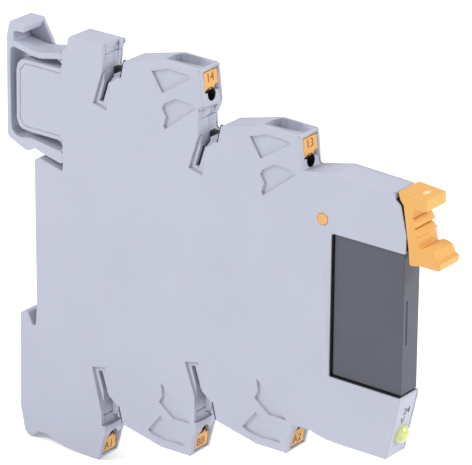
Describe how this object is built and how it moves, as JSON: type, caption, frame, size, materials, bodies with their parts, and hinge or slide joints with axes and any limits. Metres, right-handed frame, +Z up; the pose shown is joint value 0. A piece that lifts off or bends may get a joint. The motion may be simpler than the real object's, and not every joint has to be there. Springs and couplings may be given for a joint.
{
  "type": "industrial control relay",
  "caption": "Slim rail-mounted control relay: a spring-clamp terminal base holding a plug-in relay under an orange retaining lever, with a lit indicator.",
  "frame": {"origin": "middle of the rail seat: X = 0 is the plane that lies on the rail's flanges, Y = 0 is the middle of the module's thickness, Z = 0 is the rail's centre line", "axes": "+X from the rail to the operator's side, +Y along the rail, +Z up"},
  "size_m": [0.1006, 0.0062, 0.0867],
  "materials": {
    "housing_plastic": "fine matt moulded plastic, light lavender grey",
    "orange_plastic": "satin moulded plastic, orange",
    "lens": "clear tinted lens, yellow-green",
    "relay_plastic": "satin dark grey moulded plastic",
    "relay_base_plastic": "matt black moulded plastic",
    "insulator": "natural moulded insulator",
    "winding": "enamelled copper winding under clear varnish",
    "soft_iron": "zinc plated soft iron",
    "spring_steel": "stainless spring strip",
    "tinned_copper": "tin plated copper",
    "contact_metal": "tin plated bronze",
    "contact_copper": "copper alloy strip with silver contact faces",
    "board": "green solder mask",
    "electronics": "black moulded packages with tinned ends",
    "led_chip": "clear epoxy package"
  },
  "bodies": {
    "base": {"housing": "housing_plastic", "side_cover": "housing_plastic", "indicator_lens": "lens", "marker_14": "orange_plastic", "marker_13": "orange_plastic", "marker_a1": "orange_plastic", "marker_bb": "orange_plastic", "marker_a2": "orange_plastic", "current_bar_14": "tinned_copper", "current_bar_13": "tinned_copper", "current_bar_a1": "tinned_copper", "current_bar_bb": "tinned_copper", "current_bar_a2": "tinned_copper", "bridge_contact_14": "contact_metal", "bridge_contact_13": "contact_metal", "bridge_contact_a1": "contact_metal", "bridge_contact_bb": "contact_metal", "circuit_board": "board", "rectifier_diodes": "electronics", "resistors": "electronics", "capacitor": "electronics", "indicator_led": "led_chip", "socket_no": "contact_metal", "socket_com": "contact_metal", "socket_coil_a": "contact_metal", "socket_coil_b": "contact_metal"},
    "rail_foot": {"rail_foot": "housing_plastic"},
    "lever": {"retaining_lever": "orange_plastic"},
    "relay": {"relay_cap": "relay_plastic", "relay_base": "relay_base_plastic", "coil_bobbin": "insulator", "coil_winding": "winding", "coil_core": "soft_iron", "yoke": "soft_iron", "armature_spring": "spring_steel", "com_terminal": "contact_copper", "no_contact": "contact_copper", "nc_contact": "contact_copper", "coil_pin_a": "contact_copper", "coil_pin_b": "contact_copper"},
    "armature": {"armature": "soft_iron"},
    "actuator_card": {"actuator_card": "insulator"},
    "moving_contact": {"moving_contact": "contact_copper"},
    "clamp_14": {"clamp_spring_14": "spring_steel"},
    "clamp_13": {"clamp_spring_13": "spring_steel"},
    "clamp_a1": {"clamp_spring_a1": "spring_steel"},
    "clamp_bb": {"clamp_spring_bb": "spring_steel"},
    "clamp_a2": {"clamp_spring_a2": "spring_steel"}
  },
  "joints": [
    {"name": "foot_release", "type": "slide", "parent": "base", "child": "rail_foot", "axis": [0, 0, 1], "range_m": [0, 0.0011], "stiffness_N_per_m": 8000},
    {"name": "lever_pivot", "type": "hinge", "parent": "base", "child": "lever", "pos_m": [0.0683, 0, 0.022], "axis": [0, -1, 0], "range_deg": [0, 22]},
    {"name": "relay_eject", "type": "slide", "parent": "base", "child": "relay", "axis": [1, 0, 0], "range_m": [0, 0.0018]},
    {"name": "armature_pivot", "type": "hinge", "parent": "relay", "child": "armature", "pos_m": [0.07375, 0, 0.0085], "axis": [0, 1, 0], "range_deg": [0, 3], "stiffness_Nm_per_rad": 0.002, "springref_deg": -5.73},
    {"name": "card_travel", "type": "slide", "parent": "relay", "child": "actuator_card", "axis": [0, 0, -1], "range_m": [0, 0.0005]},
    {"name": "contact_flex", "type": "hinge", "parent": "relay", "child": "moving_contact", "pos_m": [0.0734, 0, 0.0141], "axis": [0, 1, 0], "range_deg": [0, 3]},
    {"name": "clamp_14_open", "type": "hinge", "parent": "base", "child": "clamp_14", "pos_m": [0.0362, 0, 0.0305], "axis": [0, -1, 0], "range_deg": [0, 12], "stiffness_Nm_per_rad": 0.3},
    {"name": "clamp_13_open", "type": "hinge", "parent": "base", "child": "clamp_13", "pos_m": [0.059, 0, 0.023], "axis": [0, -1, 0], "range_deg": [0, 12], "stiffness_Nm_per_rad": 0.3},
    {"name": "clamp_a1_open", "type": "hinge", "parent": "base", "child": "clamp_a1", "pos_m": [0.0115, 0, -0.0286], "axis": [0, 1, 0], "range_deg": [0, 12], "stiffness_Nm_per_rad": 0.3},
    {"name": "clamp_bb_open", "type": "hinge", "parent": "base", "child": "clamp_bb", "pos_m": [0.0343, 0, -0.0211], "axis": [0, 1, 0], "range_deg": [0, 12], "stiffness_Nm_per_rad": 0.3},
    {"name": "clamp_a2_open", "type": "hinge", "parent": "base", "child": "clamp_a2", "pos_m": [0.0571, 0, -0.0136], "axis": [0, 1, 0], "range_deg": [0, 12], "stiffness_Nm_per_rad": 0.3}
  ],
  "couplings": [
    {"joint": "relay_eject", "follows": "lever_pivot", "m_per_rad": 0.0044},
    {"joint": "card_travel", "follows": "armature_pivot", "m_per_rad": 0.0086},
    {"joint": "contact_flex", "follows": "armature_pivot", "ratio": 0.905}
  ]
}
